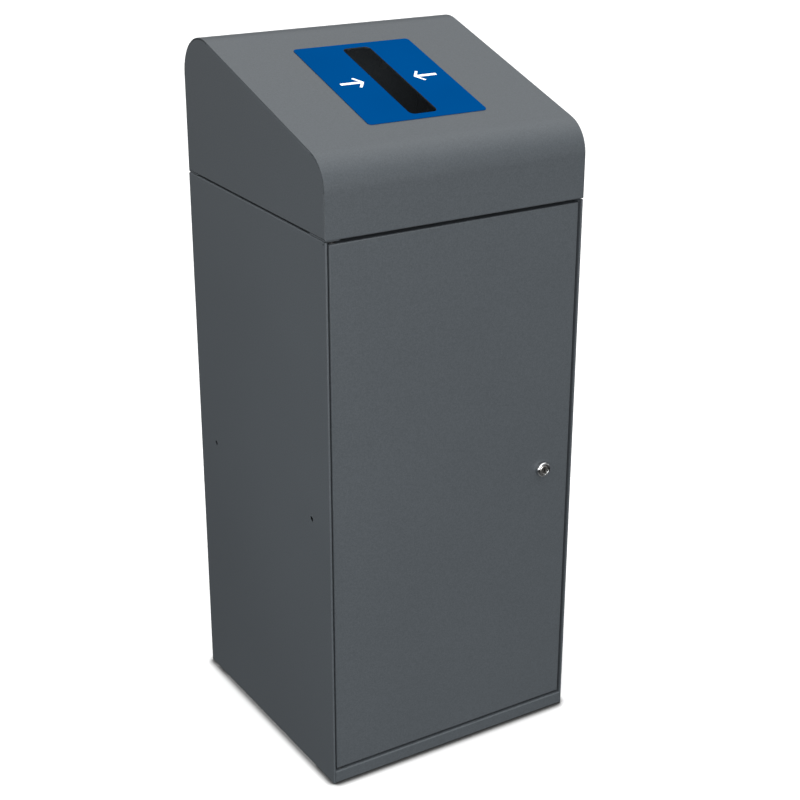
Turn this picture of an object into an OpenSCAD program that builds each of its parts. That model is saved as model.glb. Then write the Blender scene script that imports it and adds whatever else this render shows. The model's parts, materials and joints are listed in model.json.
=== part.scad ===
/* [Overall size] */
// Width of the bin
bin_w = 400; // [360:10:480]
// Depth of the bin
bin_d = 400; // [360:10:480]
// Height from the floor to the top of the hood
bin_h = 1000; // [800:10:1200]
// Height of the hood, with the gap under it
hood_h = 197; // [185:1:230]
// Gap that the feet leave under the panels
floor_gap = 1.5; // [1:0.5:6]

/* [Sheet metal] */
// Thickness of the steel panels
sheet = 1.5; // [1:0.1:1.5]
// Outer radius of the bends
bend_r = 2; // [2:0.1:3.5]
// Width of the flanges along the cabinet's top
top_flange = 23; // [21:1:24]
// Width of the flanges down the cabinet's back
rear_flange = 18; // [12:1:30]
// How far the door stops reach in from the cabinet's sides
stop_reach = 20; // [18:1:24]
// Clearance between sheets that only meet edge to edge
edge_gap = 0.3; // [0.2:0.1:0.6]

/* [Cabinet] */
// Height of the plinth's face
plinth_h = 19; // [16:1:40]
// Depth of the rail over the door
rail_d = 27; // [24:1:34]
// Height of the linking holes above the floor
link_z = 400; // [200:10:500]
// Distance from a linking hole to the cabinet's front or back
link_in = 52; // [40:1:100]
// Diameter of the linking holes
link_d = 8; // [5:0.5:12]

/* [Door] */
// Gap between the door and the lips of the side panels
door_gap = 3; // [2:0.5:4]
// How far the door's face lies behind the lips
door_recess = 2; // [1:0.5:4]
// Thickness of the door
door_t = 18; // [16:1:24]
// Gap between the plinth and the door
door_gap_bottom = 3.5; // [3:0.5:6]
// Gap between the door and the cabinet's top
door_gap_top = 4.2; // [2.8:0.1:6]
// Width of the lips behind the door's edges
door_lip = 14; // [10:1:18]
// Gap between the door's back and the stops
stop_gap = 3; // [2:0.5:5]
// Distance from the door's side edge to the hinge axis
hinge_in = 8; // [7:0.5:10]
// Distance from the door's face to the hinge axis
hinge_back = 7.5; // [6.5:0.5:8]
// Radius of the hinge pins
pin_r = 2.5; // [2:0.1:2.8]
// Radial clearance of pins and plugs that turn
turn_gap = 0.06; // [0.03:0.01:0.1]

/* [Lock] */
// Height of the lock above the floor
lock_z = 411; // [200:1:500]
// Distance from the door's side edge to the lock
lock_in = 46; // [38:1:60]
// Diameter of the lock's head
lock_head_d = 22.5; // [20:0.5:28]
// How far the lock's head stands out
lock_head_h = 7; // [4:0.5:10]
// Diameter of the lock's threaded body
lock_body_d = 19; // [18:0.5:20]
// Diameter of the turning plug
plug_d = 15; // [12:0.5:15]
// Reach of the cam behind the door stop
cam_reach = 42; // [38:1:46]

/* [Hood] */
// Height of the spacers under the hood
spacer_h = 1; // [1:0.5:4]
// How far the hood's back stands in from the cabinet's back
hood_back_in = 2; // [0:0.5:6]
// Angle of the sloping top
slope_a = 16.7; // [12:0.1:19]
// Outer radius of the front bend
front_arc_r = 48; // [30:1:60]
// Outer radius of the back bend
back_arc_r = 57; // [30:1:70]
// Width of the hood's bottom flange at the front
front_return = 40.5; // [40:0.5:46]
// Width of the hood's bottom flange at the back
rear_return = 27; // [24:1:34]
// Gap under the cheeks, over the bottom flanges
cheek_gap = 1; // [0.5:0.5:3]
// Width of the cheeks' flanges inside the hood
cheek_flange = 20; // [12:1:24]

/* [Slot] */
// Width of the slot
slot_w = 43; // [20:1:90]
// Length of the slot along the slope
slot_l = 190; // [120:5:200]
// How far the slot's middle lies below the middle of the slope
slot_down = 2; // [-6:1:6]
// How far the slot's middle lies to the right of the hood's middle
slot_side = -1.5; // [-6:0.5:6]
// Corner radius of the slot
slot_r = 8; // [3:1:9]
// Width of the coloured plate
plate_w = 183; // [110:1:260]
// Length of the coloured plate along the slope
plate_l = 214; // [205:1:250]
// Corner radius of the coloured plate
plate_r = 9; // [3:1:20]
// Thickness of the coloured plate
plate_t = 1; // [0.5:0.1:2]

/* [Liner] */
// Room between the liner and the cabinet's sides
liner_side_gap = 33; // [33:1:45]
// Room between the liner and the door stops
liner_front_gap = 20.5; // [19:0.5:40]
// Room between the liner and the cabinet's back
liner_back_gap = 18; // [16:1:40]
// How far the liner's rim lies below the cabinet's top
liner_drop = 91; // [60:1:150]
// Thickness of the liner's sheet
liner_t = 1; // [0.8:0.1:1.5]
// Corner radius of the liner
liner_r = 22; // [10:1:40]
// Diameter of the handle's wire
wire_d = 6; // [4:0.5:6]
// Clearance round the liner in its guides
liner_gap = 1.5; // [1:0.5:3]

/* [Hidden] */
$fn = 48;

paint = "#4d5457";
zinc = "#a9adb0";

// Clearance that lets a screw pass, and a small overlap for cutting tools
screw_gap = 0.3;
cut = 1;

// The cabinet's outer planes. The lock stands out in front, so the cabinet's middle lies
// behind the origin, which is the middle of the whole bin.
mid_y = max(0, lock_head_h - door_recess) / 2;
side_x = bin_w / 2;
front_y = mid_y - bin_d / 2;
back_y = mid_y + bin_d / 2;
cabinet_h = bin_h - hood_h;
lip_w = 2 * sheet;
tray_z = floor_gap + plinth_h;

// The door, its stops and its hinge axis
door_x = side_x - lip_w - door_gap;
door_front = front_y + door_recess;
door_back = door_front + door_t;
door_z0 = tray_z + door_gap_bottom;
door_z1 = cabinet_h - door_gap_top;
stop_y = door_back + stop_gap;
stop_x = side_x - stop_reach;
hinge_x = -door_x + hinge_in;
hinge_y = door_front + hinge_back;
bush_wall = 1.2;
bush_r = pin_r + bush_wall;
bush_l = 12;
bush_flange = 1;
bush_flange_w = 1.3;
bush_flange_r = bush_r + bush_flange_w;

// The seam of the front lip stops short of the top bend
lip_relief = 6;
relief_d = 3;
lip_top_gap = 0.5;
lip_top = cabinet_h - lip_top_gap;

// Back panel, tray and rail
back_in = back_y - 2 * sheet;
side_leg = 15;
tray_leg = 15;
tray_land = 30;
plinth_return = 8;
rail_front_leg = 27;
rail_rear_leg = 15;
rail_z = cabinet_h - sheet;

// Hood bolts: one near each corner, through the hood's bottom flanges
bolt_r = 3;
bolt_flats = 10;
bolt_head_h = 4;
nut_h = 5;
bolt_side_in = 14;
bolt_front_in = 34;
bolt_back_in = 16;
bolt_tip = 1.5;
bolt_x = side_x - bolt_side_in;
bolt_front_y = front_y + bolt_front_in;
bolt_back_y = back_y - bolt_back_in;
hood_base = cabinet_h + spacer_h;
flange_top = hood_base + sheet;
bolt_top = flange_top + nut_h + bolt_tip;

// Hood profile, seen from the side as [y, z]
arc_fn = 96;
hair = 0.01;
arc_over = 8;

// Room round a cheek's cut arcs, and the turn left open at each end of a flange
arc_gap = 0.8;
relief_a = 0.7;
hood_back_y = back_y - hood_back_in;
back_arc = [hood_back_y - back_arc_r, bin_h - back_arc_r];
slope_out = [-sin(slope_a), cos(slope_a)];
front_arc_y = front_y + front_arc_r;
front_arc_drop = (back_arc_r - front_arc_r + (front_arc_y - back_arc.x) * sin(slope_a))
    / cos(slope_a);
front_arc = [front_arc_y, back_arc.y + front_arc_drop];
slope_front = front_arc + front_arc_r * slope_out;
slope_back = back_arc + back_arc_r * slope_out;
slot_mid = (slope_front + slope_back) / 2 - slot_down * [cos(slope_a), sin(slope_a)];
slope_l = norm(slope_back - slope_front);
cheek_base = flange_top + cheek_gap;

// Plugs that close the holes in the hood's back
plug_hole_r = 5;
plug_collar_r = 6.8;
plug_collar_h = 2.5;
plug_side_in = 80;
plug_drop = 75;
plug_pitch = bin_w - 2 * plug_side_in;
plug_z = bin_h - plug_drop;

// Feet
foot_r = 15;
foot_tip_r = 13;
foot_h = tray_z - sheet;
foot_side_in = 20;
foot_end_in = 40;
foot_x = side_x - foot_side_in;
foot_pitch = bin_d - 2 * foot_end_in;
foot_screw_r = 2.5;
foot_screw_head_r = 4.6;
foot_screw_head_h = 3;
foot_seat = 10;
foot_nut_h = 4;
foot_nut_flats = 8;

// Liner, its guides and its swing handle
liner_w = bin_w - 2 * liner_side_gap;
liner_y0 = stop_y + sheet + liner_front_gap;
liner_y1 = back_in - liner_back_gap;
liner_l = liner_y1 - liner_y0;
liner_y = (liner_y0 + liner_y1) / 2;
liner_z0 = tray_z + sheet;
liner_z1 = cabinet_h - liner_drop;
liner_h = liner_z1 - liner_z0;
guide_x = liner_w / 2 + liner_gap + sheet;
guide_leg = 25;
guide_start = 5;
rim_h = 12;
rim_t = liner_t;
seam_w = 8;
base_leg = 15;
wire_r = wire_d / 2;
handle_rest_gap = 0.3;
handle_z = liner_z1 + wire_r + handle_rest_gap;
ear_t = 2;
ear_w = 26;
ear_x = liner_w / 2 - liner_t;
ear_drop = 42;
rivet_up = 12;
rivet_z = liner_z1 - ear_drop + rivet_up;
arm_x = liner_w / 2 + rim_t + wire_r;
handle_front_in = 1;
handle_reach = liner_l / 2 - wire_r - handle_front_in;
handle_bend = 15;
hook_gap = 0.5;
hook_bend = wire_r + hook_gap;
hook_tip = 1.5;
rivet_r = 2;
rivet_head_r = 4;
rivet_head_h = 1.5;

// Lock, along Y
lock_x = door_x - lock_in;
lock_front = door_front - lock_head_h;
lock_end = stop_y + sheet - 0.4;
cam_front = stop_y + sheet + 0.3;
cam_t = 2;
cam_w = 16;
plug_square = 7;
plug_recess = 0.6;
key_w = 2;
key_l = 8.5;
key_deep = 9;
cam_screw_r = 2;
cam_screw_l = 9;
nut_flats = 24;

// A bent sheet seen along its bend: legs along +x and +y from the outer corner at the origin
module angle_section(w, h, t = sheet, r = bend_r) {
    translate([r, 0]) square([w - r, t]);
    translate([0, r]) square([t, h - r]);
    intersection() {
        square(r);
        translate([r, r]) difference() {
            circle(r);
            circle(r - t);
        }
    }
}

// A rectangle with four round corners, centred
module rounded_rect(w, l, r) {
    square([w - 2 * r, l], center = true);
    square([w, l - 2 * r], center = true);
    for (sx = [-1, 1], sy = [-1, 1])
        translate([sx * (w / 2 - r), sy * (l / 2 - r)]) circle(r);
}

// Sections drawn as [x, z], [y, z] or [x, y] and drawn out along the third axis
module along_y(y0, y1) {
    translate([0, y1, 0]) rotate([90, 0, 0]) linear_extrude(y1 - y0) children();
}
module along_x(x0, x1) {
    translate([x0, 0, 0]) rotate([90, 0, 90]) linear_extrude(x1 - x0) children();
}
module along_z(z0, z1) {
    translate([0, 0, z0]) linear_extrude(z1 - z0) children();
}

module hexagon(flats) {
    circle(r = flats / sqrt(3), $fn = 6);
}

module ring(r_out, r_in, h) {
    difference() {
        cylinder(r = r_out, h = h);
        translate([0, 0, -cut]) cylinder(r = r_in, h = h + 2 * cut);
    }
}

module at_hood_bolts() {
    for (sx = [-1, 1], y = [bolt_front_y, bolt_back_y])
        translate([sx * bolt_x, y, 0]) children();
}

module hood_bolt_holes() {
    at_hood_bolts() translate([0, 0, rail_z - 2 * sheet])
        cylinder(r = bolt_r + screw_gap, h = flange_top - rail_z + 3 * sheet);
}

module at_feet() {
    for (sx = [-1, 1], sy = [-1, 1])
        translate([sx * foot_x, mid_y + sy * foot_pitch / 2, 0]) children();
}

// Side panel from above: skin, closed front hem bent into the door stop, rear return
module side_section() {
    translate([-side_x, front_y + sheet]) square([sheet, bin_d - sheet - bend_r]);
    translate([-side_x + sheet, front_y + sheet]) circle(sheet);
    translate([-side_x + sheet, stop_y + sheet]) rotate(-90)
        angle_section(stop_y - front_y, stop_reach - sheet);
    translate([-side_x, back_y]) rotate(-90) angle_section(2 * bend_r, rear_flange);
}

// The top flange proper starts flange_in behind the front
module side_panel(flange_in) {
    difference() {
        union() {
            along_z(floor_gap, cabinet_h - bend_r) side_section();
            // The lip runs on past the start of the top bend
            along_z(cabinet_h - 2 * bend_r, lip_top) intersection() {
                side_section();
                translate([-side_x, front_y]) square([lip_w, lip_relief]);
            }
            along_y(front_y + sheet, back_in) translate([-side_x, cabinet_h])
                rotate(-90) angle_section(2 * bend_r, top_flange);
        }
        // The top bend starts behind the lip, at a round relief
        translate([-side_x - cut, front_y - cut, lip_top])
            cube([lip_w + cut + lip_top_gap, lip_relief + cut, 2 * bend_r]);
        translate([-side_x - cut, front_y + lip_relief, cabinet_h - 2 * bend_r]) rotate([0, 90, 0])
            cylinder(d = relief_d, h = lip_w + 2 * cut);
        translate([-side_x + lip_w + edge_gap, front_y, cabinet_h - sheet - edge_gap])
            cube([top_flange, flange_in, 2 * sheet]);
        // The door stop stands on the floor tray
        translate([-side_x + lip_w, stop_y - cut, floor_gap - cut])
            cube([stop_reach, sheet + 2 * cut, plinth_h + cut]);
        for (sy = [-1, 1]) translate([-side_x - cut, mid_y + sy * (bin_d / 2 - link_in), link_z])
            rotate([0, 90, 0]) cylinder(d = link_d, h = sheet + 2 * cut);
        hood_bolt_holes();
    }
}

module left_side_panel() {
    color(paint) difference() {
        side_panel(hinge_y - front_y - 1.8 * pin_r);
        translate([hinge_x, hinge_y, cabinet_h - 2 * sheet])
            cylinder(r = pin_r + turn_gap, h = 3 * sheet);
    }
}

module right_side_panel() {
    color(paint) mirror([1, 0, 0]) side_panel(stop_y - front_y - edge_gap);
}

// Back panel: let in between the side panels' rear returns, with side and top flanges
module back_panel() {
    half = side_x - sheet;
    top_half = side_x - top_flange - edge_gap;
    color(paint) {
        along_z(floor_gap, cabinet_h - bend_r) {
            translate([-half + bend_r, back_in]) square([2 * (half - bend_r), sheet]);
            translate([-half, back_y - sheet]) rotate(-90)
                angle_section(side_leg, 2 * bend_r);
            translate([half, back_y - sheet]) rotate(180)
                angle_section(2 * bend_r, side_leg);
        }
        along_x(-top_half, top_half) translate([back_y - sheet, cabinet_h])
            rotate(180) angle_section(top_flange, 2 * bend_r);
    }
}

// Floor tray: its front is turned down and back as the plinth
module floor_tray() {
    front_half = side_x - lip_w;
    rear_half = front_half - bend_r;
    side_half = side_x - sheet;
    color(paint) difference() {
        union() {
            along_x(-front_half, front_half) {
                translate([front_y, tray_z]) rotate(-90)
                    angle_section(plinth_h / 2, tray_land);
                translate([front_y, floor_gap]) angle_section(plinth_return, plinth_h / 2);
            }
            translate([-side_half + tray_land / 2, front_y + tray_land / 2, tray_z - sheet])
                cube([2 * side_half - tray_land, back_in - front_y - tray_land, sheet]);
            along_x(-rear_half, rear_half) translate([back_in, tray_z])
                rotate(180) angle_section(tray_land, tray_leg);
            along_y(stop_y + 2 * sheet, back_y - sheet - side_leg - edge_gap) {
                translate([-side_half, tray_z]) rotate(-90)
                    angle_section(tray_leg, tray_land);
                translate([side_half, tray_z]) rotate(180)
                    angle_section(tray_land, tray_leg);
            }
        }
        at_feet() translate([0, 0, tray_z - 2 * sheet])
            cylinder(r = foot_screw_r + screw_gap, h = 3 * sheet);
        translate([hinge_x, hinge_y, tray_z - 2 * sheet])
            cylinder(r = pin_r + turn_gap, h = 3 * sheet);
    }
}

// Channel over the door: lapped under the side panels' top flanges
module top_front_rail() {
    half = side_x - lip_w - edge_gap;
    color(paint) difference() {
        along_x(-half, half) {
            translate([stop_y, rail_z]) rotate(-90)
                angle_section(rail_front_leg, rail_d - bend_r);
            translate([stop_y + rail_d, rail_z]) rotate(180)
                angle_section(rail_d / 2, rail_rear_leg);
        }
        // Room for the door stops at both ends
        for (s = [0, 1]) mirror([s, 0, 0])
            translate([-half - cut, stop_y - cut, rail_z - rail_front_leg - cut])
                cube([half - stop_x + cut + edge_gap, sheet + edge_gap + cut,
                    rail_front_leg + 2 * cut]);
        hood_bolt_holes();
    }
}

// The slice of a circle between the directions from and to
module slice(centre, r, from, to) {
    mid = (from + to) / 2;
    translate(centre) intersection() {
        circle(r, $fn = arc_fn);
        polygon([
            [0, 0],
            2 * r * [cos(from), sin(from)],
            2 * r * [cos(mid), sin(mid)],
            2 * r * [cos(to), sin(to)]
        ]);
    }
}

// Side view of the hood's outline, drawn in from the outer skin by inset, down to z0; the
// flats lie a hair inside the arcs, so each flat crosses its arc at a clear corner
module hood_profile(inset, z0) {
    front_r = front_arc_r - inset;
    back_r = back_arc_r - inset;
    slice(front_arc, front_r, 90 + slope_a - arc_over, 180 + arc_over);
    slice(back_arc, back_r, -arc_over, 90 + slope_a + arc_over);
    polygon([
        [front_y + inset + hair, z0],
        [hood_back_y - inset - hair, z0],
        [hood_back_y - inset - hair, back_arc.y],
        back_arc + (back_r - hair) * slope_out,
        front_arc + (front_r - hair) * slope_out,
        [front_y + inset + hair, front_arc.y]
    ]);
}

// The frame of the slope: y runs up the slope and z stands on it
module on_slope(p) {
    translate([0, p.x, p.y]) rotate([slope_a, 0, 0]) children();
}

module at_slot() {
    on_slope(slot_mid) translate([slot_side, 0, 0]) children();
}

module slot_cut() {
    at_slot() translate([0, 0, -3 * sheet]) linear_extrude(4 * sheet + plate_t)
        rounded_rect(slot_w, slot_l, slot_r);
}

// Front, slope and back of the hood, bent from one sheet
module hood_wrap() {
    color(paint) difference() {
        along_x(-side_x, side_x) {
            difference() {
                hood_profile(0, hood_base + bend_r);
                hood_profile(sheet, hood_base);
            }
            translate([front_y, hood_base]) angle_section(front_return, 2 * bend_r);
            translate([hood_back_y, hood_base]) rotate(90)
                angle_section(2 * bend_r, rear_return);
        }
        slot_cut();
        hood_bolt_holes();
        for (sx = [-1, 1]) translate([sx * plug_pitch / 2, hood_back_y + cut, plug_z])
            rotate([90, 0, 0]) cylinder(r = plug_hole_r, h = sheet + 2 * cut);
    }
}

// Side wall of the hood: flanged along its three flats and cut to the arcs between them, with
// a small relief at each end of a flange. The slope's flange is set in by a hair, so that its
// faces don't all but coincide with the wall's.
module hood_cheek() {
    inset = sheet + 1.5 * bend_r;
    end_gap = 0.3;
    front_r = front_arc_r - inset;
    back_r = back_arc_r - inset;
    color(paint) {
        along_x(-side_x, -side_x + sheet) {
            polygon([
                [front_y + inset, cheek_base],
                [hood_back_y - inset, cheek_base],
                [hood_back_y - inset, back_arc.y],
                back_arc + back_r * slope_out,
                front_arc + front_r * slope_out,
                [front_y + inset, front_arc.y]
            ]);
            slice(front_arc, front_arc_r - sheet - arc_gap, 90 + slope_a + relief_a,
                180 - relief_a);
            slice(back_arc, back_arc_r - sheet - arc_gap, relief_a, 90 + slope_a - relief_a);
        }
        along_z(cheek_base, front_arc.y - end_gap)
            translate([-side_x, front_y + sheet + hair]) angle_section(cheek_flange, 2 * bend_r);
        along_z(cheek_base, back_arc.y - end_gap)
            translate([-side_x, hood_back_y - sheet - hair]) rotate(-90)
                angle_section(2 * bend_r, cheek_flange);
        on_slope(slope_front) along_y(end_gap, slope_l - end_gap)
            translate([-side_x + hair, -sheet - 3 * hair]) rotate(-90)
                angle_section(2 * bend_r, cheek_flange);
    }
}

module hood_left_cheek() {
    hood_cheek();
}

module hood_right_cheek() {
    mirror([1, 0, 0]) hood_cheek();
}

module hood_spacers() {
    color("#222426") at_hood_bolts() translate([0, 0, cabinet_h])
        ring(bolt_r + 3.5, bolt_r + screw_gap, spacer_h);
}

// The front bolts clamp the rail as well, so their heads lie one sheet lower
module hood_bolts() {
    color(zinc) for (sx = [-1, 1], row = [0, 1]) {
        seat = row == 0 ? rail_z - sheet : rail_z;
        translate([sx * bolt_x, row == 0 ? bolt_front_y : bolt_back_y, 0]) {
            along_z(seat - bolt_head_h, seat) hexagon(bolt_flats);
            along_z(seat - bolt_head_h / 2, bolt_top) circle(bolt_r);
        }
    }
}

module hood_nuts() {
    color(zinc) at_hood_bolts() along_z(flange_top, flange_top + nut_h) difference() {
        hexagon(bolt_flats);
        circle(bolt_r + turn_gap);
    }
}

module blanking_plugs() {
    color("#16181a") for (sx = [-1, 1])
        translate([sx * plug_pitch / 2, hood_back_y, plug_z]) rotate([90, 0, 0]) difference() {
            union() {
                cylinder(r = plug_hole_r - turn_gap, h = sheet + plug_collar_h / 2);
                translate([0, 0, sheet + hair]) cylinder(r = plug_collar_r, h = plug_collar_h);
            }
            translate([0, 0, 2 * sheet]) cylinder(r = plug_hole_r / 2, h = plug_collar_h);
        }
}

module slot_plate() {
    color("#00529b") at_slot() linear_extrude(plate_t) difference() {
        rounded_rect(plate_w, plate_l, plate_r);
        rounded_rect(slot_w, slot_l, slot_r);
    }
}

// Drops in from above and is held down by the hood's bottom flange
module upper_hinge_pin() {
    head_h = 0.8 * spacer_h;
    color("#222426") translate([hinge_x, hinge_y, 0]) {
        translate([0, 0, cabinet_h]) cylinder(r = 1.5 * pin_r, h = head_h);
        translate([0, 0, door_z1 - bush_l]) cylinder(r = pin_r, h = cabinet_h - door_z1 + bush_l);
    }
}

// Riveted into the floor tray
module lower_hinge_pin() {
    rivet_h = 2;
    color("#222426") translate([hinge_x, hinge_y, tray_z - sheet - rivet_h]) {
        cylinder(r = 1.5 * pin_r, h = rivet_h);
        cylinder(r = pin_r, h = rivet_h + sheet + door_gap_bottom + bush_l);
    }
}

module hinge_spacer() {
    run = 0.3;
    color("#16181a") translate([hinge_x, hinge_y, tray_z])
        ring(bush_flange_r, pin_r + turn_gap, door_gap_bottom - bush_flange - run);
}

module door_buffers() {
    height = stop_gap - 0.3;
    end = 50;
    color("#1b1c1d") for (z = [door_z0 + end, door_z1 - end])
        translate([stop_x + stop_reach / 2 - sheet, stop_y, z]) rotate([90, 0, 0])
            cylinder(r1 = 5, r2 = 4, h = height);
}

module rubber_feet() {
    color("#1b1c1d") at_feet() difference() {
        cylinder(r1 = foot_tip_r, r2 = foot_r, h = foot_h);
        translate([0, 0, -cut]) cylinder(r = foot_screw_head_r + cut, h = foot_seat + cut);
        cylinder(r = foot_screw_r + turn_gap, h = foot_h + cut);
    }
}

module foot_screws() {
    color(zinc) at_feet() {
        translate([0, 0, foot_seat - foot_screw_head_h])
            cylinder(r = foot_screw_head_r, h = foot_screw_head_h);
        translate([0, 0, foot_seat - cut])
            cylinder(r = foot_screw_r, h = tray_z + foot_nut_h + 1 - foot_seat + cut);
    }
}

module foot_nuts() {
    color(zinc) at_feet() along_z(tray_z, tray_z + foot_nut_h) difference() {
        hexagon(foot_nut_flats);
        circle(foot_screw_r + turn_gap);
    }
}

// Angle on the tray that locates the liner, with an upturned stop at its back end
module liner_guide() {
    back_end = liner_y1 + liner_gap;
    color(paint) {
        along_y(liner_y0 + guide_start, back_end + sheet) translate([-guide_x, tray_z])
            angle_section(guide_leg, guide_leg);
        translate([-guide_x, back_end, tray_z + sheet / 2])
            cube([guide_leg, sheet, guide_leg - sheet / 2]);
    }
}

module left_liner_guide() {
    liner_guide();
}

module right_liner_guide() {
    mirror([1, 0, 0]) liner_guide();
}

// Folded sheet with a lock seam at the back and an outward hem round the top
module liner_shell() {
    color("#b4b8ba") translate([0, liner_y, 0]) difference() {
        union() {
            along_z(liner_z0, liner_z1) rounded_rect(liner_w, liner_l, liner_r);
            along_z(liner_z1 - rim_h, liner_z1)
                rounded_rect(liner_w + 2 * rim_t, liner_l + 2 * rim_t, liner_r + rim_t);
            translate([-seam_w / 2, liner_l / 2 - liner_t, liner_z0])
                cube([seam_w, liner_t + rim_t, liner_h - rim_h / 2]);
        }
        along_z(liner_z0 - cut, liner_z1 + cut)
            rounded_rect(liner_w - 2 * liner_t, liner_l - 2 * liner_t, liner_r - liner_t);
        at_ear_rivets() cylinder(r = rivet_r, h = 4 * liner_t, center = true);
    }
}

// Pan let into the foot of the liner
module liner_base() {
    w = liner_w - 2 * liner_t;
    l = liner_l - 2 * liner_t;
    color("#b4b8ba") translate([0, liner_y, 0]) difference() {
        along_z(liner_z0, liner_z0 + base_leg) rounded_rect(w, l, liner_r - liner_t);
        along_z(liner_z0 + liner_t, liner_z0 + base_leg + cut)
            rounded_rect(w - 2 * liner_t, l - 2 * liner_t, liner_r - 2 * liner_t);
    }
}

// The rivets' axes, in the frame of the liner's centre
module at_ear_rivets() {
    for (sx = [-1, 1], sy = [-1, 1])
        translate([sx * ear_x, sy * ear_w / 4, rivet_z]) rotate([0, 90, 0])
            children();
}

// Plates inside the liner's wall that carry the handle above the rim
module handle_ears() {
    color(zinc) translate([0, liner_y, 0]) difference() {
        for (s = [0, 1]) mirror([s, 0, 0]) along_x(-ear_x, -ear_x + ear_t) {
            translate([-ear_w / 2, liner_z1 - ear_drop])
                square([ear_w, ear_drop + handle_z - liner_z1]);
            translate([0, handle_z]) circle(r = ear_w / 2 - wire_r);
        }
        for (s = [0, 1]) mirror([s, 0, 0]) for (sy = [-1, 1])
            translate([-ear_x - cut, sy * ear_w / 2, handle_z]) rotate([0, 90, 0])
                cylinder(r = wire_r, h = ear_t + 2 * cut);
        translate([0, 0, handle_z]) rotate([0, 90, 0])
            cylinder(r = wire_r + turn_gap, h = liner_w, center = true);
        at_ear_rivets() cylinder(r = rivet_r, h = 4 * ear_t, center = true);
    }
}

module ear_rivets() {
    reach = liner_t + rivet_head_h;
    color(zinc) translate([0, liner_y, 0]) for (s = [0, 1]) mirror([s, 0, 0])
        for (sy = [-1, 1])
            translate([-ear_x, sy * ear_w / 4, rivet_z])
                rotate([0, 90, 0]) {
                    translate([0, 0, -reach]) cylinder(r = rivet_r, h = reach + ear_t + 1);
                    translate([0, 0, -reach])
                        cylinder(r1 = rivet_head_r - 1, r2 = rivet_head_r, h = rivet_head_h);
                    translate([0, 0, ear_t]) cylinder(r = rivet_head_r, h = 1);
                }
}

// A quarter bend of wire in the xy plane, from +x round to +y about the origin
module wire_bend(r) {
    rotate_extrude(angle = 90) translate([r, 0]) circle(wire_r);
}

// Half of the handle: hook through the ear, arm forward, half of the crossbar
module half_handle() {
    hook_end = ear_x - ear_t - hook_tip;
    arm_front = -handle_reach + handle_bend;
    translate([-arm_x + hook_bend, 0, 0]) rotate([0, 90, 0])
        cylinder(r = wire_r, h = arm_x - hook_bend - hook_end + hook_tip);
    translate([-hook_end + 0.5, 0, 0]) rotate([0, 90, 0])
        cylinder(r = wire_r + 1, h = hook_tip);
    translate([-arm_x + hook_bend, -hook_bend, 0]) rotate([0, 0, 90]) wire_bend(hook_bend);
    translate([-arm_x, -hook_bend, 0]) rotate([90, 0, 0])
        cylinder(r = wire_r, h = -arm_front - hook_bend);
    translate([-arm_x + handle_bend, arm_front, 0]) rotate([0, 0, 180]) wire_bend(handle_bend);
    translate([-arm_x + handle_bend, -handle_reach, 0]) rotate([0, 90, 0])
        cylinder(r = wire_r, h = arm_x - handle_bend);
}

module liner_handle() {
    color(zinc) translate([0, liner_y, handle_z]) for (s = [0, 1]) mirror([s, 0, 0])
        half_handle();
}

// A block with all its edges rounded, as a bent pan is
module pan_block(inset, r) {
    w = 2 * (door_x - inset);
    t = door_t - 2 * inset;
    h = door_z1 - door_z0 - 2 * inset;
    centre = [0, (door_front + door_back) / 2, (door_z0 + door_z1) / 2];
    translate(centre) intersection() {
        along_z(-h / 2, h / 2) rounded_rect(w, t, r);
        along_x(-w / 2, w / 2) rounded_rect(t, h, r);
        along_y(-t / 2, t / 2) rounded_rect(w, h, r);
    }
}

// Door: a pan with its four edges bent back and then in
module door_panel() {
    color(paint) difference() {
        pan_block(0, bend_r);
        pan_block(sheet, bend_r - sheet);
        translate([-door_x + door_lip, door_back - 2 * sheet, door_z0 + door_lip])
            cube([2 * (door_x - door_lip), 3 * sheet, door_z1 - door_z0 - 2 * door_lip]);
        translate([hinge_x, hinge_y, door_z0 - cut])
            cylinder(r = bush_r + turn_gap, h = door_z1 - door_z0 + 2 * cut);
        translate([lock_x, door_front - cut, lock_z]) rotate([-90, 0, 0])
            cylinder(r = lock_body_d / 2 + turn_gap, h = 3 * sheet);
    }
}

// Top hat welded up the middle of the door
module door_stiffener() {
    skin = door_front + sheet;
    crown = 44;
    flange = 14;
    depth = door_t - 2 * sheet - 2;
    end = 45;
    color(paint) along_z(door_z0 + end, door_z1 - end) {
        translate([-crown / 2, skin + depth - sheet]) square([crown, sheet]);
        for (sx = [-1, 1]) {
            translate([(sx * (crown - sheet) - sheet) / 2, skin]) square([sheet, depth]);
            translate([(sx * (crown + flange - sheet) - flange - sheet) / 2, skin])
                square([flange + sheet, sheet]);
        }
    }
}

// Flanged bush with its flange on the side that faces -z
module hinge_bush() {
    color("#16181a") difference() {
        union() {
            cylinder(r = bush_r, h = bush_l);
            translate([0, 0, -bush_flange]) cylinder(r = bush_flange_r, h = bush_flange);
        }
        translate([0, 0, -bush_flange - cut])
            cylinder(r = pin_r + turn_gap, h = bush_l + bush_flange + 2 * cut);
    }
}

module upper_hinge_bush() {
    translate([hinge_x, hinge_y, door_z1]) mirror([0, 0, 1]) hinge_bush();
}

module lower_hinge_bush() {
    translate([hinge_x, hinge_y, door_z0]) hinge_bush();
}

// The lock's own frame: z runs into the cabinet, y up is along -z of the bin
module at_lock(y) {
    translate([lock_x, y, lock_z]) rotate([-90, 0, 0]) children();
}

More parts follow.
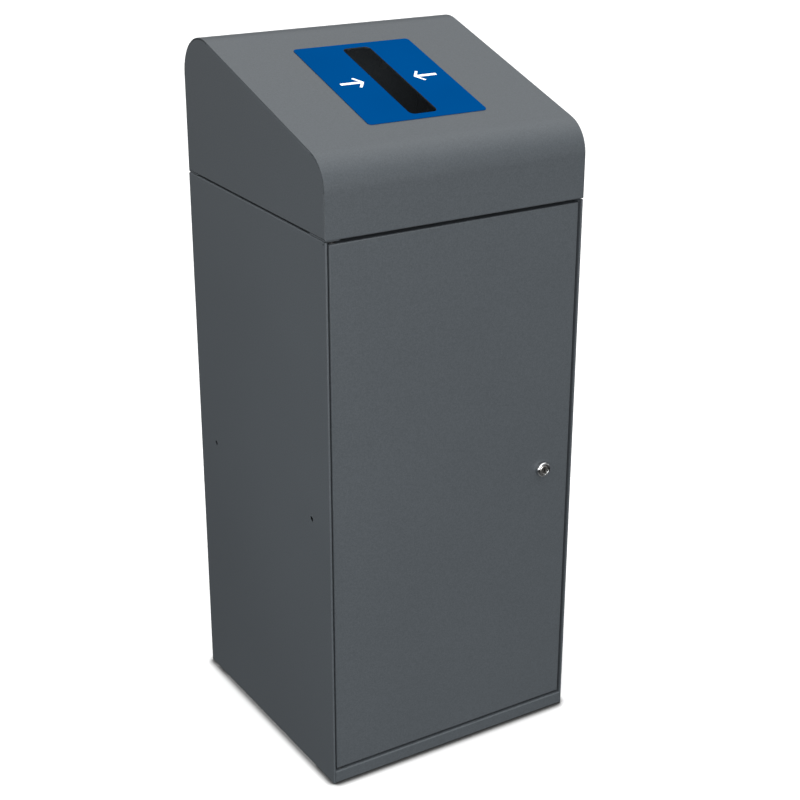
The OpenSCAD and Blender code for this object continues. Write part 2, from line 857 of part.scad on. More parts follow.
module lock_body() {
    chamfer = 1.5;
    color("#d4d6d8") at_lock(lock_front) difference() {
        union() {
            cylinder(r1 = lock_head_d / 2 - chamfer, r2 = lock_head_d / 2, h = chamfer);
            translate([0, 0, chamfer]) cylinder(d = lock_head_d, h = lock_head_h - chamfer);
            cylinder(d = lock_body_d, h = lock_end - lock_front);
        }
        translate([0, 0, -cut])
            cylinder(r = plug_d / 2 + turn_gap, h = lock_end - lock_front + 2 * cut);
    }
}

module lock_washer() {
    color(zinc) at_lock(door_front + sheet)
        ring(lock_body_d / 2 + 3.5, lock_body_d / 2 + turn_gap, 1);
}

module lock_nut() {
    color(zinc) at_lock(door_front + sheet + 1) linear_extrude(nut_h) difference() {
        hexagon(nut_flats);
        circle(lock_body_d / 2 + turn_gap);
    }
}

// The plug turns in the body: keyway at the front, square and screw hole at the back
module lock_plug() {
    square_end = cam_front + cam_t - lock_front - 0.1;
    color("#c4c7ca") at_lock(lock_front) difference() {
        union() {
            translate([0, 0, plug_recess])
                cylinder(d = plug_d, h = cam_front - lock_front - 0.1 - plug_recess);
            translate([-plug_square / 2, -plug_square / 2, plug_recess])
                cube([plug_square, plug_square, square_end - plug_recess]);
        }
        translate([-key_w / 2, -key_l / 2, -cut]) cube([key_w, key_l, key_deep + cut]);
        translate([0, 0, square_end - cam_screw_l])
            cylinder(r = cam_screw_r + turn_gap, h = cam_screw_l + cut);
    }
}

// Points down when the door is free and towards +x behind the stop when it is locked
module lock_cam() {
    color(zinc) at_lock(cam_front) linear_extrude(cam_t) difference() {
        union() {
            circle(d = cam_w);
            translate([-cam_w / 2, 0]) square([cam_w, cam_reach - cam_w / 2]);
            translate([0, cam_reach - cam_w / 2]) circle(d = cam_w);
        }
        square(plug_square + 2 * turn_gap, center = true);
    }
}

module cam_screw() {
    head_h = 2.5;
    color(zinc) at_lock(cam_front + cam_t) {
        cylinder(r1 = 4.5, r2 = 3.5, h = head_h);
        translate([0, 0, 1 - cam_screw_l]) cylinder(r = cam_screw_r, h = cam_screw_l);
    }
}

left_side_panel();
right_side_panel();
back_panel();
floor_tray();
top_front_rail();
hood_wrap();
hood_left_cheek();
hood_right_cheek();
hood_spacers();
hood_bolts();
hood_nuts();
blanking_plugs();
slot_plate();
upper_hinge_pin();
lower_hinge_pin();
hinge_spacer();
door_buffers();
rubber_feet();
foot_screws();
foot_nuts();
left_liner_guide();
right_liner_guide();
liner_shell();
liner_base();
handle_ears();
ear_rivets();
liner_handle();
door_panel();
door_stiffener();
upper_hinge_bush();
lower_hinge_bush();
lock_body();
lock_washer();
lock_nut();
lock_plug();
lock_cam();
cam_screw();
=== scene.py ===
import json
import math
import bmesh
import bpy
from mathutils import Matrix, Vector


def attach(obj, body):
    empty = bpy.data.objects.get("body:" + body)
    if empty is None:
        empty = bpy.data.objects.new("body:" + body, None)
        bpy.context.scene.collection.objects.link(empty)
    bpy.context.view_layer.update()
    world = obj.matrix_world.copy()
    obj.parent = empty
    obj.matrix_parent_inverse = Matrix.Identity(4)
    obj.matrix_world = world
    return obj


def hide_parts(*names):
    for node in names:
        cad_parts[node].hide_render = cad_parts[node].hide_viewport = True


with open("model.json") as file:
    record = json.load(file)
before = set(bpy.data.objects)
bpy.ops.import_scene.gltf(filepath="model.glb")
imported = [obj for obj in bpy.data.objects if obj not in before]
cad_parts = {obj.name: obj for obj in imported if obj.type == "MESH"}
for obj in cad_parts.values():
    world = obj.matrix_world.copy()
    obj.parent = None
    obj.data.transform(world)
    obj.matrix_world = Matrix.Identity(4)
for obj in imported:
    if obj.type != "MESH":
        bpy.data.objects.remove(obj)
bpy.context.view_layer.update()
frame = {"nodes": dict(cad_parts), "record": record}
print("frame loaded:", len(frame["nodes"]), "nodes")

# Metres are the scene's unit. Sizes below are in millimetres, depths of grain in microns
mm = 0.001
micron = 0.000001

# How close two points are to count as one: in a CAD mesh, at the pole of a turned piece, on a rim
near = {"merge": 0.02, "pole": 0.001, "rim": 0.01}


class Signal:
    # one output socket, so that masks are added and multiplied like numbers
    def __init__(self, nodes, socket):
        self.nodes = nodes
        self.socket = socket

    def maths(self, operation, first, second):
        return self.nodes.node("ShaderNodeMath", {"operation": operation}, {0: first, 1: second})

    def __add__(self, other):
        return self.maths("ADD", self, other)

    def __radd__(self, other):
        return self.maths("ADD", other, self)

    def __sub__(self, other):
        return self.maths("SUBTRACT", self, other)

    def __rsub__(self, other):
        return self.maths("SUBTRACT", other, self)

    def __mul__(self, other):
        return self.maths("MULTIPLY", self, other)

    def __rmul__(self, other):
        return self.maths("MULTIPLY", other, self)


class Nodes:
    # the node tree of a finish or of the room
    def __init__(self, tree):
        self.tree = tree

    def node(self, kind, settings=None, inputs=None, output=0):
        made = self.tree.nodes.new(kind)
        for key, value in (settings or {}).items():
            if key == "stops":
                ramp = made.color_ramp
                while len(ramp.elements) < len(value):
                    ramp.elements.new(0.5)
                for element, (position, colour) in zip(ramp.elements, value):
                    element.position = position
                    element.color = colour
            else:
                setattr(made, key, value)
        for key, value in (inputs or {}).items():
            if isinstance(value, Signal):
                self.tree.links.new(value.socket, made.inputs[key])
            else:
                made.inputs[key].default_value = value
        return Signal(self, made.outputs[output])


class Finish(Nodes):
    # a material on the principled shader, patterned by the piece's own coordinates
    def __init__(self, name, **constants):
        self.material = bpy.data.materials.new(name)
        self.material.use_nodes = True
        super().__init__(self.material.node_tree)
        self.shader = self.tree.nodes["Principled BSDF"]
        self.place = self.node("ShaderNodeTexCoord", output="Object")
        for socketName, value in constants.items():
            self.shader.inputs[socketName.replace("_", " ")].default_value = value

    def noise(self, scale, detail, roughness, stretch=None, output="Fac"):
        place = self.place
        if stretch is not None:
            place = self.node("ShaderNodeMapping", {}, {"Vector": place, "Scale": stretch})
        return self.node("ShaderNodeTexNoise", {}, {
            "Vector": place, "Scale": scale, "Detail": detail, "Roughness": roughness}, output)

    def span(self, value, fromLow, fromHigh, toLow=0.0, toHigh=1.0):
        return self.node("ShaderNodeMapRange", {"clamp": True}, {
            "Value": value, "From Min": fromLow, "From Max": fromHigh,
            "To Min": toLow, "To Max": toHigh})

    def evened(self, noise, low=0.0, high=1.0):
        # nearly all of a noise lies between these two levels
        return self.span(noise, 0.3, 0.7, low, high)

    def blend(self, mask, under, over):
        return self.node("ShaderNodeMix", {"data_type": "RGBA"}, {0: mask, 6: under, 7: over}, 2)

    def shaded(self, mask, colour, low, high):
        # one colour, darker or lighter by the mask
        return self.blend(mask, tone(colour, low), tone(colour, high))

    def bump(self, height, depth, under=None):
        inputs = {"Height": height, "Distance": depth * micron}
        if under is not None:
            inputs["Normal"] = under
        return self.node("ShaderNodeBump", {}, inputs)

    def drive(self, **maps):
        for socketName, signal in maps.items():
            self.tree.links.new(signal.socket, self.shader.inputs[socketName.replace("_", " ")])
        return self.material


def tone(colour, factor=1.0):
    return tuple(c * factor for c in colour) + (1.0,)


# In the finishes below a noise is its scale, detail and roughness, and a stretch where it has one,
# and a range holds the noise's levels between which a mask rises

# Baked powder coat: nearly smooth, with faint orange peel, a satin grain and a fine speckle
paintSettings = {
    "colour": (0.0583, 0.0664, 0.0735), "roughness": (0.40, 0.47),
    "cloud": (4.2, 3.0, 0.55), "clouding": 0.02,
    "speckle": (520.0, 3.0, 0.7), "speckling": 0.17,
    "peel": (260.0, 1.5, 0.45), "peelDepth": 40,
    "grain": (2600.0, 2.0, 0.6), "grainDepth": 8,
}


def powderCoat(name, settings):
    finish = Finish(name, IOR=1.5, Specular_IOR_Level=0.25)
    peel = finish.noise(*settings["peel"])
    grain = finish.noise(*settings["grain"])
    cloud = finish.noise(*settings["cloud"])
    speckle = finish.noise(*settings["speckle"])
    shift = settings["clouding"] + settings["speckling"]
    share = settings["speckling"] / shift
    shade = finish.evened(cloud) * (1 - share) + finish.evened(speckle) * share
    colour = finish.shaded(shade, settings["colour"], 1 - shift, 1 + shift)
    roughness = finish.evened(cloud * 0.6 + grain * 0.4, *settings["roughness"])
    normal = finish.bump(grain, settings["grainDepth"], finish.bump(peel, settings["peelDepth"]))
    return finish.drive(Base_Color=colour, Roughness=roughness, Normal=normal)


# Plastic plate, printed an even matt blue, with hairline scuffs across it
plateSettings = {
    "colour": (0.0, 0.0444, 0.165), "shades": (0.97, 1.03), "roughness": (0.40, 0.44),
    "cloud": (9.0, 2.0, 0.5), "scuffs": (60.0, 4.0, 0.65, (1.0, 9.0, 9.0)),
    "scuffRange": (0.55, 0.75), "scuffing": 0.08, "grain": (1800.0, 1.0, 0.5), "depth": 3,
}


def plateBlue(name, settings):
    finish = Finish(name, IOR=1.49, Specular_IOR_Level=0.0)
    cloud = finish.noise(*settings["cloud"])
    scuffs = finish.span(finish.noise(*settings["scuffs"]), *settings["scuffRange"])
    grain = finish.noise(*settings["grain"])
    colour = finish.shaded(finish.evened(cloud), settings["colour"], *settings["shades"])
    roughness = scuffs * settings["scuffing"] + finish.evened(grain, *settings["roughness"])
    return finish.drive(Base_Color=colour, Roughness=roughness,
                        Normal=finish.bump(grain, settings["depth"]))


# Thin white print, a little uneven where the ink is thin
printSettings = {
    "colour": (0.86, 0.87, 0.88), "shades": (0.95, 1.0), "roughness": (0.35, 0.45),
    "ink": (900.0, 3.0, 0.6), "inkRange": (0.35, 0.7), "depth": 4,
}


def printWhite(name, settings):
    finish = Finish(name)
    ink = finish.noise(*settings["ink"])
    covered = finish.span(ink, *settings["inkRange"])
    colour = finish.shaded(covered, settings["colour"], *settings["shades"])
    roughness = finish.evened(ink, *settings["roughness"])
    return finish.drive(Base_Color=colour, Roughness=roughness,
                        Normal=finish.bump(ink, settings["depth"]))


# Zinc bath finish of the liner: flat crystals a few millimetres wide, each with its own gleam
zincBathSettings = {
    "dark": (0.31, 0.33, 0.345), "light": (0.50, 0.52, 0.53), "roughness": (0.3, 0.5),
    "crystal": 130.0, "edge": 0.06, "wander": (90.0, 2.0, 0.5), "warp": 6.0, "depth": 10,
}


def zincBath(name, settings):
    finish = Finish(name, Metallic=1.0)
    wander = finish.noise(*settings["wander"])
    warped = finish.node("ShaderNodeVectorMath", {"operation": "MULTIPLY_ADD"}, {
        0: finish.noise(*settings["wander"], output="Color"),
        1: (settings["warp"] * mm,) * 3, 2: finish.place})
    pattern = {"Vector": warped, "Scale": settings["crystal"]}
    crystal = finish.node("ShaderNodeTexVoronoi", {"feature": "F1"}, pattern, "Color")
    gleam = finish.node("ShaderNodeSeparateColor", {}, {"Color": crystal})
    edge = finish.node("ShaderNodeTexVoronoi", {"feature": "DISTANCE_TO_EDGE"}, pattern, "Distance")
    colour = finish.blend(gleam * 0.7 + wander * 0.3, tone(settings["dark"]),
                          tone(settings["light"]))
    roughness = finish.span(gleam * 0.6 + wander * 0.4, 0.1, 0.9, *settings["roughness"])
    height = finish.span(edge, 0.0, settings["edge"]) + gleam * 0.6
    return finish.drive(Base_Color=colour, Roughness=roughness,
                        Normal=finish.bump(height, settings["depth"]))


# Bright zinc plate of wire and fasteners: drawn streaks and a slight blue haze
zincPlateSettings = {
    "colour": (0.50, 0.52, 0.55), "haze": (0.36, 0.39, 0.45), "roughness": (0.22, 0.38),
    "streaks": (500.0, 3.0, 0.6, (1.0, 0.25, 0.25)), "clouds": (35.0, 3.0, 0.55),
    "hazeRange": (0.4, 0.75), "depth": 6,
}


def zincPlate(name, settings):
    finish = Finish(name, Metallic=1.0)
    streaks = finish.noise(*settings["streaks"])
    clouds = finish.noise(*settings["clouds"])
    haze = finish.span(clouds, *settings["hazeRange"])
    colour = finish.blend(haze, tone(settings["colour"]), tone(settings["haze"]))
    roughness = finish.evened(streaks * 0.6 + clouds * 0.4, *settings["roughness"])
    return finish.drive(Base_Color=colour, Roughness=roughness,
                        Normal=finish.bump(streaks, settings["depth"]))


# Black oxide on the hinge pins, rubbed grey and smooth in streaks where they turn
blackOxideSettings = {
    "colour": (0.022, 0.022, 0.023), "rubbed": (0.05, 0.05, 0.052), "roughness": (0.5, 0.36),
    "streaks": (700.0, 3.0, 0.6, (0.3, 0.3, 1.0)), "rubbedRange": (0.5, 0.8), "depth": 6,
}


def blackOxide(name, settings):
    finish = Finish(name, Metallic=0.6)
    streaks = finish.noise(*settings["streaks"])
    rubbed = finish.span(streaks, *settings["rubbedRange"])
    colour = finish.blend(rubbed, tone(settings["colour"]), tone(settings["rubbed"]))
    roughness = finish.evened(streaks, *settings["roughness"])
    return finish.drive(Base_Color=colour, Roughness=roughness,
                        Normal=finish.bump(streaks, settings["depth"]))


# Polished chrome of the lock's head, dulled a little by fingermarks
chromeSettings = {
    "colour": (0.60, 0.61, 0.62), "shades": (1.0, 0.9), "roughness": 0.07, "dulling": 0.08,
    "marks": (320.0, 3.0, 0.6), "marksRange": (0.45, 0.75),
    "turning": (1400.0, 1.0, 0.5), "depth": 1.5,
}


def polishedChrome(name, settings):
    finish = Finish(name, Metallic=1.0)
    marks = finish.span(finish.noise(*settings["marks"]), *settings["marksRange"])
    turning = finish.noise(*settings["turning"])
    colour = finish.shaded(marks, settings["colour"], *settings["shades"])
    roughness = marks * settings["dulling"] + settings["roughness"]
    return finish.drive(Base_Color=colour, Roughness=roughness,
                        Normal=finish.bump(turning, settings["depth"]))


# Satin nickel of the plug, worn darker in patches
nickelSettings = {
    "colour": (0.50, 0.49, 0.47), "shades": (1.0, 0.8), "roughness": (0.23, 0.34),
    "turning": (1200.0, 2.0, 0.55), "wear": (260.0, 3.0, 0.6), "wearRange": (0.4, 0.7), "depth": 3,
}


def satinNickel(name, settings):
    finish = Finish(name, Metallic=1.0)
    turning = finish.noise(*settings["turning"])
    wear = finish.span(finish.noise(*settings["wear"]), *settings["wearRange"])
    colour = finish.shaded(wear, settings["colour"], *settings["shades"])
    roughness = finish.evened(turning, *settings["roughness"])
    return finish.drive(Base_Color=colour, Roughness=roughness,
                        Normal=finish.bump(turning, settings["depth"]))


# Moulded pieces: plastic with spark-eroded grain and coarser rubber, both with a dusty bloom
mouldedSettings = {
    "blackPlastic": {"colour": (0.012, 0.013, 0.014), "roughness": (0.45, 0.56),
                     "grain": (1600.0, 2.0, 0.6), "depth": 12},
    "blackRubber": {"colour": (0.016, 0.016, 0.017), "roughness": (0.73, 0.84),
                    "grain": (900.0, 2.0, 0.6), "depth": 20},
    "greyPlastic": {"colour": (0.062, 0.068, 0.074), "roughness": (0.31, 0.42),
                    "grain": (1600.0, 2.0, 0.6), "depth": 12},
}
bloomSettings = {"noise": (45.0, 3.0, 0.6), "range": (0.35, 0.75), "shades": (1.0, 1.3)}


def moulded(name):
    settings = mouldedSettings[name]
    finish = Finish(name)
    grain = finish.noise(*settings["grain"])
    bloom = finish.noise(*bloomSettings["noise"])
    dust = finish.span(bloom, *bloomSettings["range"])
    colour = finish.shaded(dust, settings["colour"], *bloomSettings["shades"])
    roughness = finish.evened(grain * 0.5 + bloom * 0.5, *settings["roughness"])
    return finish.drive(Base_Color=colour, Roughness=roughness,
                        Normal=finish.bump(grain, settings["depth"]))


finishes = {
    "anthracite_paint": powderCoat("anthracitePowderCoat", paintSettings),
    "blue_plate": plateBlue("plateBlue", plateSettings),
    "galvanised_sheet": zincBath("zincBath", zincBathSettings),
    "zinc_plate": zincPlate("zincPlate", zincPlateSettings),
    "lock_chrome": polishedChrome("polishedChrome", chromeSettings),
    "lock_nickel": satinNickel("satinNickel", nickelSettings),
    "black_plastic": moulded("blackPlastic"),
    "black_rubber": moulded("blackRubber"),
    "black_steel": blackOxide("blackOxide", blackOxideSettings),
}
# the plugs in the hood's back are moulded in a grey near the paint's
plugFinish = {"blanking_plugs": moulded("greyPlastic")}
whitePrint = printWhite("whitePrint", printSettings)
print("finishes made")

nodeSlots = {part["node"]: part["material_slot"] for part in frame["record"]["subparts"]}
nodeBodies = {name: body for body, names in frame["record"]["behaviour"]["bodies"].items()
              for name in names}
for name, node in frame["nodes"].items():
    node.data.materials.clear()
    node.data.materials.append(plugFinish.get(name, finishes[nodeSlots[name]]))
print("CAD nodes finished")


def placed(x, y, z):
    return Matrix.Translation((x * mm, y * mm, z * mm))


def addPiece(name, bm):
    mesh = bpy.data.meshes.new(name)
    bm.to_mesh(mesh)
    bm.free()
    piece = bpy.data.objects.new(name, mesh)
    bpy.context.scene.collection.objects.link(piece)
    return piece


def finished(name, bm, material, body):
    piece = addPiece(name, bm)
    piece.data.materials.append(material)
    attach(piece, body)
    return piece


def smoothFaces(bm):
    for face in bm.faces:
        face.smooth = True


def addNormals(piece):
    normals = piece.modifiers.new("normals", "WEIGHTED_NORMAL")
    normals.mode = "FACE_AREA"
    normals.weight = 100
    normals.keep_sharp = True


def roundEdges(bm, edges, width, segments):
    bmesh.ops.bevel(bm, geom=edges, offset=width * mm, offset_type="OFFSET", affect="EDGES",
                    segments=segments, profile=0.5, material=-1, clamp_overlap=True)


# Sheets whose sharp edges get a real, narrow radius, given for each piece. Faces that turn by
# less than flat are joined first, and edges that turn by more than sharp are rounded
softened = {
    "hood_wrap": 0.22, "hood_left_cheek": 0.22, "hood_right_cheek": 0.22,
    "left_side_panel": 0.22, "right_side_panel": 0.22, "back_panel": 0.22, "floor_tray": 0.22,
    "door_panel": 0.22, "slot_plate": 0.15,
}
softening = {"flat": 0.4, "sharp": 40.0, "segments": 2}


def softenEdges(nodeName, width):
    bm = bmesh.new()
    bm.from_mesh(frame["nodes"][nodeName].data)
    bmesh.ops.remove_doubles(bm, verts=bm.verts, dist=near["merge"] * mm)
    bmesh.ops.dissolve_limit(bm, angle_limit=math.radians(softening["flat"]), verts=bm.verts,
                             edges=bm.edges)
    smoothFaces(bm)
    piece = finished(nodeName + "_soft", bm, finishes[nodeSlots[nodeName]],
                     nodeBodies[nodeName])
    edges = piece.modifiers.new("edges", "BEVEL")
    edges.width = width * mm
    edges.segments = softening["segments"]
    edges.limit_method = "ANGLE"
    edges.angle_limit = math.radians(softening["sharp"])
    edges.harden_normals = True
    edges.use_clamp_overlap = True
    addNormals(piece)
    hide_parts(nodeName)


for nodeName, width in softened.items():
    softenEdges(nodeName, width)
print("edges softened:", len(softened))

# The slope of the hood, which carries the plate and its print
slope = {"middle": (-1.5, -20.002, 953.457), "angle": 16.7, "plateTop": 1.0}
slopePlace = placed(*slope["middle"]) @ Matrix.Rotation(math.radians(slope["angle"]), 4, "X")
toSlope = slopePlace.inverted()

# The cut edges round the slot, in the sheet and in the plate, get a black material as painted
# shade, where they lie in shadow: the faces in this box about the slope's middle whose normals
# point out of the slope by less than lean
slotCut = {"halfWidth": 24.0, "halfLength": 100.0, "halfDepth": 5.0, "lean": 0.5}


def shadeSlotEdges(nodeName):
    mesh = bpy.data.objects[nodeName + "_soft"].data
    # painted shade: the slot's cut faces take the black plastic finish
    mesh.materials.append(finishes["black_plastic"])
    for face in mesh.polygons:
        x, y, z = toSlope @ face.center / mm
        facing = toSlope.to_3x3() @ face.normal
        inside = (abs(x) < slotCut["halfWidth"] and abs(y) < slotCut["halfLength"]
                  and abs(z) < slotCut["halfDepth"])
        if inside and abs(facing.z) < slotCut["lean"]:
            face.material_index = 1


for nodeName in ("hood_wrap", "slot_plate"):
    shadeSlotEdges(nodeName)

# The plate's corners are cut tighter than the solid's: share is how much of their round is kept
plate = {"halfWidth": 91.5, "halfLength": 107.0, "round": 9.0, "share": 0.65}


def tightenCorners():
    straightX = plate["halfWidth"] - plate["round"]
    straightY = plate["halfLength"] - plate["round"]
    for vert in bpy.data.objects["slot_plate_soft"].data.vertices:
        x, y, z = toSlope @ vert.co / mm
        if abs(x) > straightX and abs(y) > straightY:
            x += (math.copysign(plate["halfWidth"], x) - x) * (1 - plate["share"])
            y += (math.copysign(plate["halfLength"], y) - y) * (1 - plate["share"])
            vert.co = slopePlace @ (Vector((x, y, z)) * mm)


tightenCorners()
print("slot darkened and plate cut")

# Two plain arrows that point at the slot from its long sides, a film of print on the plate
arrows = {"away": 57.0, "length": 36.0, "stroke": 5.2, "head": 12.0, "barb": (0.9, 0.6),
          "lift": 0.005, "film": 0.12, "corner": 1.1, "cornerSegments": 4}


def arrowOutline(length, stroke, head, barb):
    # from the tail along +x to the tip, then back along the lower edge
    half = stroke / 2
    notch = half * math.sqrt(2)
    upper = [(-length / 2, half), (length / 2 - half - notch, half),
             (length / 2 - head - half / 2, head),
             (length / 2 - head + half * barb[0], head + half * barb[1])]
    tip = [(length / 2, 0)]
    return upper + tip + [(x, -y) for x, y in reversed(upper)]


def buildArrows():
    bm = bmesh.new()
    height = (slope["plateTop"] + arrows["lift"]) * mm
    for side in (-1, 1):
        outline = arrowOutline(arrows["length"], arrows["stroke"], arrows["head"], arrows["barb"])
        if side > 0:
            outline = [(-x, y) for x, y in reversed(outline)]
        corners = [bm.verts.new(((x + side * arrows["away"]) * mm, y * mm, height))
                   for x, y in outline]
        raised = bmesh.ops.extrude_face_region(bm, geom=[bm.faces.new(corners)])
        top = [v for v in raised["geom"] if isinstance(v, bmesh.types.BMVert)]
        bmesh.ops.translate(bm, verts=top, vec=(0, 0, arrows["film"] * mm))
    bmesh.ops.recalc_face_normals(bm, faces=bm.faces)
    uprights = [e for e in bm.edges
                if abs(e.verts[0].co.z - e.verts[1].co.z) > arrows["film"] / 2 * mm]
    roundEdges(bm, uprights, arrows["corner"], arrows["cornerSegments"])
    bmesh.ops.transform(bm, matrix=slopePlace, verts=bm.verts)
    finished("slot_arrows", bm, whitePrint, "cabinet")


buildArrows()
print("arrows printed")

# Cylinder lock, drawn with z out of the door: a chromed head with a rounded rim, and a plug
# whose crowned face is recessed in it. The head is seated just clear of the door's sheet
lock = {"place": (148.0, -195.5, 411.0), "seat": 0.02, "headRadius": 11.25, "headHeight": 7.0,
        "bodyRadius": 9.5, "bodyEnd": -22.1, "bore": 7.56, "plugRadius": 7.5, "plugFace": 6.4,
        "plugEnd": -22.6, "squareSide": 7.0, "squareEnd": -24.7, "keyWidth": 2.0,
        "keyLength": 8.5, "keyDepth": 9.0, "steps": 72}
# widths and segments of its rounded rims
lockRims = {"head": (2.9, 8), "bore": (0.4, 3), "seat": (0.25, 2), "crown": (2.6, 8)}
lockPlace = placed(*lock["place"]) @ Matrix.Rotation(math.radians(90), 4, "X")


def turned(profile, closed):
    # radius and height pairs, spun round z
    bm = bmesh.new()
    corners = [bm.verts.new((r * mm, 0, z * mm)) for r, z in profile]
    pairs = list(zip(corners, corners[1:])) + ([(corners[-1], corners[0])] if closed else [])
    edges = [bm.edges.new(pair) for pair in pairs]
    bmesh.ops.spin(bm, geom=corners + edges, cent=(0, 0, 0), axis=(0, 0, 1), angle=math.tau,
                   steps=lock["steps"], use_merge=True)
    bmesh.ops.remove_doubles(bm, verts=bm.verts, dist=near["pole"] * mm)
    bmesh.ops.recalc_face_normals(bm, faces=bm.faces)
    return bm


def roundRim(bm, radius, height, rim):
    def onRim(vert):
        return (abs(vert.co.z - height * mm) < near["rim"] * mm
                and abs(vert.co.xy.length - radius * mm) < near["rim"] * mm)
    roundEdges(bm, [e for e in bm.edges if all(onRim(v) for v in e.verts)], *lockRims[rim])


def buildLockHead():
    bm = turned([(lock["bore"], lock["bodyEnd"]), (lock["bore"], lock["headHeight"]),
                 (lock["headRadius"], lock["headHeight"]), (lock["headRadius"], lock["seat"]),
                 (lock["bodyRadius"], lock["seat"]), (lock["bodyRadius"], lock["bodyEnd"])],
                closed=True)
    roundRim(bm, lock["headRadius"], lock["headHeight"], "head")
    roundRim(bm, lock["bore"], lock["headHeight"], "bore")
    roundRim(bm, lock["headRadius"], lock["seat"], "seat")
    bmesh.ops.transform(bm, matrix=lockPlace, verts=bm.verts)
    smoothFaces(bm)
    head = finished("lock_head", bm, finishes["lock_chrome"], "door")
    addNormals(head)
    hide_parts("lock_body")


def buildLockPlug():
    bm = turned([(0, lock["plugEnd"]), (lock["plugRadius"], lock["plugEnd"]),
                 (lock["plugRadius"], lock["plugFace"]), (0, lock["plugFace"])], closed=False)
    roundRim(bm, lock["plugRadius"], lock["plugFace"], "crown")
    # the square tail that the cam sits on
    square = bmesh.ops.create_cube(bm, size=lock["squareSide"] * mm)
    reach = abs(lock["squareEnd"] - lock["plugEnd"]) / lock["squareSide"]
    middle = (lock["squareEnd"] + lock["plugEnd"]) / 2 * mm
    bmesh.ops.scale(bm, vec=(1, 1, reach), verts=square["verts"])
    bmesh.ops.translate(bm, vec=(0, 0, middle), verts=square["verts"])
    smoothFaces(bm)
    plug = finished("lock_plug_face", bm, finishes["lock_nickel"], "lock_rotor")
    cutter = bmesh.new()
    bmesh.ops.create_cube(cutter, size=1.0)
    keySize = (lock["keyWidth"] * mm, lock["keyLength"] * mm, 2 * lock["keyDepth"] * mm)
    bmesh.ops.scale(cutter, vec=keySize, verts=cutter.verts)
    bmesh.ops.translate(cutter, vec=(0, 0, lock["plugFace"] * mm), verts=cutter.verts)
    keyway = addPiece("keyway", cutter)
    cut = plug.modifiers.new("keyway", "BOOLEAN")
    cut.operation = "DIFFERENCE"
    cut.solver = "EXACT"
    cut.object = keyway
    bpy.context.view_layer.update()
    evaluated = plug.evaluated_get(bpy.context.evaluated_depsgraph_get())
    shaped = bpy.data.meshes.new_from_object(evaluated)
    plug.modifiers.clear()
    plug.data = shaped
    bpy.data.objects.remove(keyway)
    shaped.transform(lockPlace)
    addNormals(plug)
    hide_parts("lock_plug")


buildLockHead()
buildLockPlug()
print("lock built")

# Stage: a pale floor, a room with a bright ceiling and a grey horizon, two large softboxes, a
# small one beside the left panel, a wide weak bank and a glow in the hood. The room is pairs of
# height, from straight down to straight up, and brightness. The lamps and the floor's size are in
# metres, its drop and the reach of the contact shadow in millimetres
stage = {
    "floor": {"colour": (0.80, 0.80, 0.80), "shades": (0.99, 1.0), "cloud": (0.6, 2.0, 0.5),
              "halfSize": 40.0, "drop": 0.2},
    "contact": {"colour": (0.06, 0.06, 0.06), "reach": 14.0, "range": (0.58, 0.97), "rays": 16},
    "room": ((-1.0, 0.282), (-0.35, 0.0), (0.0, 0.6), (0.35, 0.0), (1.0, 3.083)),
    "softboxes": {
        "left": {"place": (-2.6, -4.2, 1.6), "aim": (0, 0, 0.6), "size": 2.5, "power": 147},
        "front": {"place": (-0.2, -3.0, 1.0), "aim": (0, 0, 0.6), "size": 1.5, "power": 31.5},
        "side": {"place": (-1.1, -0.3, 0.6), "aim": (-0.2, -0.1, 0.45), "size": 0.6, "power": 3.8},
    },
    "bank": {"azimuth": -25.0, "elevation": 12.0, "spread": 40.0, "strength": 0.127},
    "glow": {"place": (0.02, 0.04, 0.85), "aim": (0.13, 0.2, 0.85), "size": 0.08, "power": 0.046},
}


def towards(azimuth, elevation):
    # azimuth 0 is the front, and turns to the right
    a, e = math.radians(azimuth), math.radians(elevation)
    return Vector((math.sin(a) * math.cos(e), -math.cos(a) * math.cos(e), math.sin(e)))


def buildFloor():
    settings, contact = stage["floor"], stage["contact"]
    bm = bmesh.new()
    bmesh.ops.create_grid(bm, x_segments=1, y_segments=1, size=settings["halfSize"])
    bmesh.ops.translate(bm, verts=bm.verts, vec=(0, 0, -settings["drop"] * mm))
    floor = addPiece("floor", bm)
    finish = Finish("paleFloor", Roughness=0.9, Specular_IOR_Level=0.1)
    cloud = finish.evened(finish.noise(*settings["cloud"]))
    pale = finish.shaded(cloud, settings["colour"], *settings["shades"])
    # painted contact shadow: ambient occlusion darkens the floor's colour in the last centimetre
    # beside the bin, so that a soft shadow stays under the bright lamps
    opening = finish.node("ShaderNodeAmbientOcclusion", {"samples": contact["rays"]},
                          {"Distance": contact["reach"] * mm}, "AO")
    mask = finish.span(opening, *contact["range"])
    finish.drive(Base_Color=finish.blend(mask, tone(contact["colour"]), pale))
    floor.data.materials.append(finish.material)
    # the room's own dim lower half lights the bin from below, not the pale floor
    floor.visible_diffuse = False
    floor.visible_glossy = False


def addLamp(name, kind, back, place=(0, 0, 0)):
    lamp = bpy.data.objects.new(name, bpy.data.lights.new(name, kind))
    bpy.context.scene.collection.objects.link(lamp)
    lamp.location = place
    lamp.rotation_euler = back.to_track_quat("Z", "Y").to_euler()
    lamp.visible_camera = False
    return lamp


def addSoftbox(name, box):
    lamp = addLamp(name, "AREA", Vector(box["place"]) - Vector(box["aim"]), box["place"])
    lamp.data.shape = "SQUARE"
    lamp.data.size = box["size"]
    lamp.data.energy = box["power"]
    return lamp


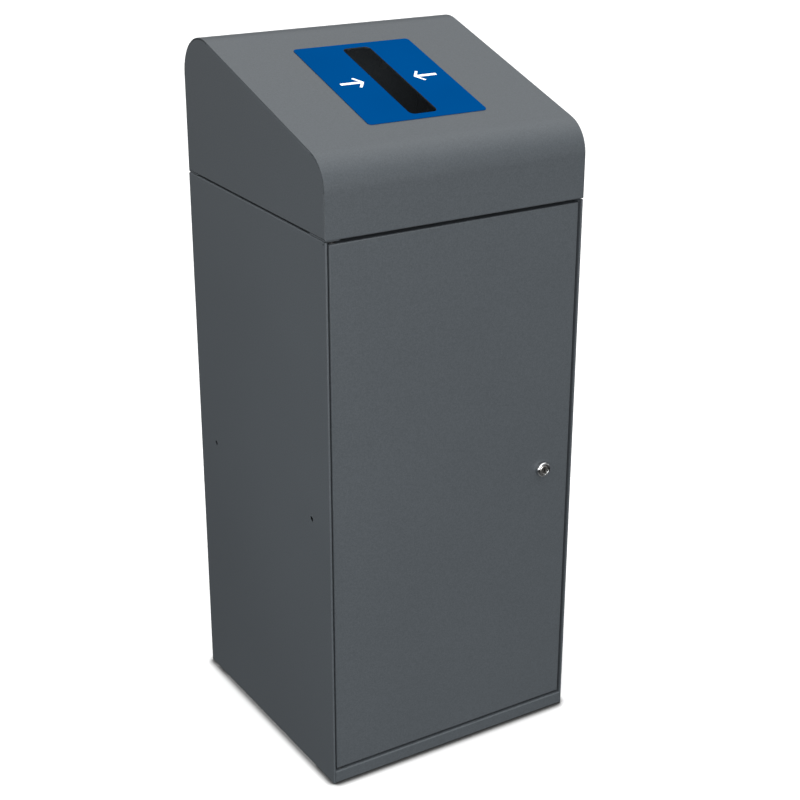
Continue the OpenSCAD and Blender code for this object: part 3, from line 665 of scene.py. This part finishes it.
def buildRoom():
    world = bpy.data.worlds.new("room")
    world.use_nodes = True
    room = Nodes(world.node_tree)
    direction = room.node("ShaderNodeTexCoord", output="Generated")
    height = room.node("ShaderNodeSeparateXYZ", {}, {0: direction}, "Z")
    brightest = max(level for position, level in stage["room"])
    stops = [((position + 1) / 2, (level / brightest,) * 3 + (1.0,))
             for position, level in stage["room"]]
    light = room.node("ShaderNodeValToRGB", {"stops": stops}, {0: (height + 1) * 0.5})
    background = world.node_tree.nodes["Background"]
    world.node_tree.links.new(light.socket, background.inputs["Color"])
    background.inputs["Strength"].default_value = brightest
    bpy.context.scene.world = world


def buildStage():
    buildFloor()
    buildRoom()
    for name, box in stage["softboxes"].items():
        addSoftbox(name + "Softbox", box)
    # stands for the daylight that falls through the slot, which short light paths lose
    addSoftbox("hoodGlow", stage["glow"]).visible_glossy = False
    bank = stage["bank"]
    lamp = addLamp("frontBank", "SUN", towards(bank["azimuth"], bank["elevation"]))
    lamp.data.angle = math.radians(bank["spread"])
    lamp.data.energy = bank["strength"]
    bpy.context.scene.view_settings.view_transform = "Standard"


buildStage()
print("stage set")

# Camera at the photograph's place, in millimetres, and seeing as far as 200 metres
view = {"place": (-1144.72, -1923.47, 1409.55), "azimuth": -33.81, "elevation": 22.684,
        "roll": 1.018, "lens": 74.344, "sensor": 36.0, "shiftX": -0.0806, "shiftY": 0.0053,
        "farthest": 200.0}


def buildCamera():
    back = towards(view["azimuth"], view["elevation"])
    a, r = math.radians(view["azimuth"]), math.radians(view["roll"])
    level = Vector((math.cos(a), math.sin(a), 0))
    right = level * math.cos(r) + back.cross(level) * math.sin(r)
    up = back.cross(right)
    lens = bpy.data.cameras.new("camera")
    lens.lens = view["lens"]
    lens.sensor_width = view["sensor"]
    lens.shift_x = view["shiftX"]
    lens.shift_y = view["shiftY"]
    lens.dof.use_dof = False
    lens.clip_end = view["farthest"]
    camera = bpy.data.objects.new("camera", lens)
    bpy.context.scene.collection.objects.link(camera)
    turn = Matrix((right, up, back)).transposed()
    camera.matrix_world = placed(*view["place"]) @ turn.to_4x4()
    bpy.context.scene.camera = camera


buildCamera()
print("camera placed")

bpy.context.view_layer.update()
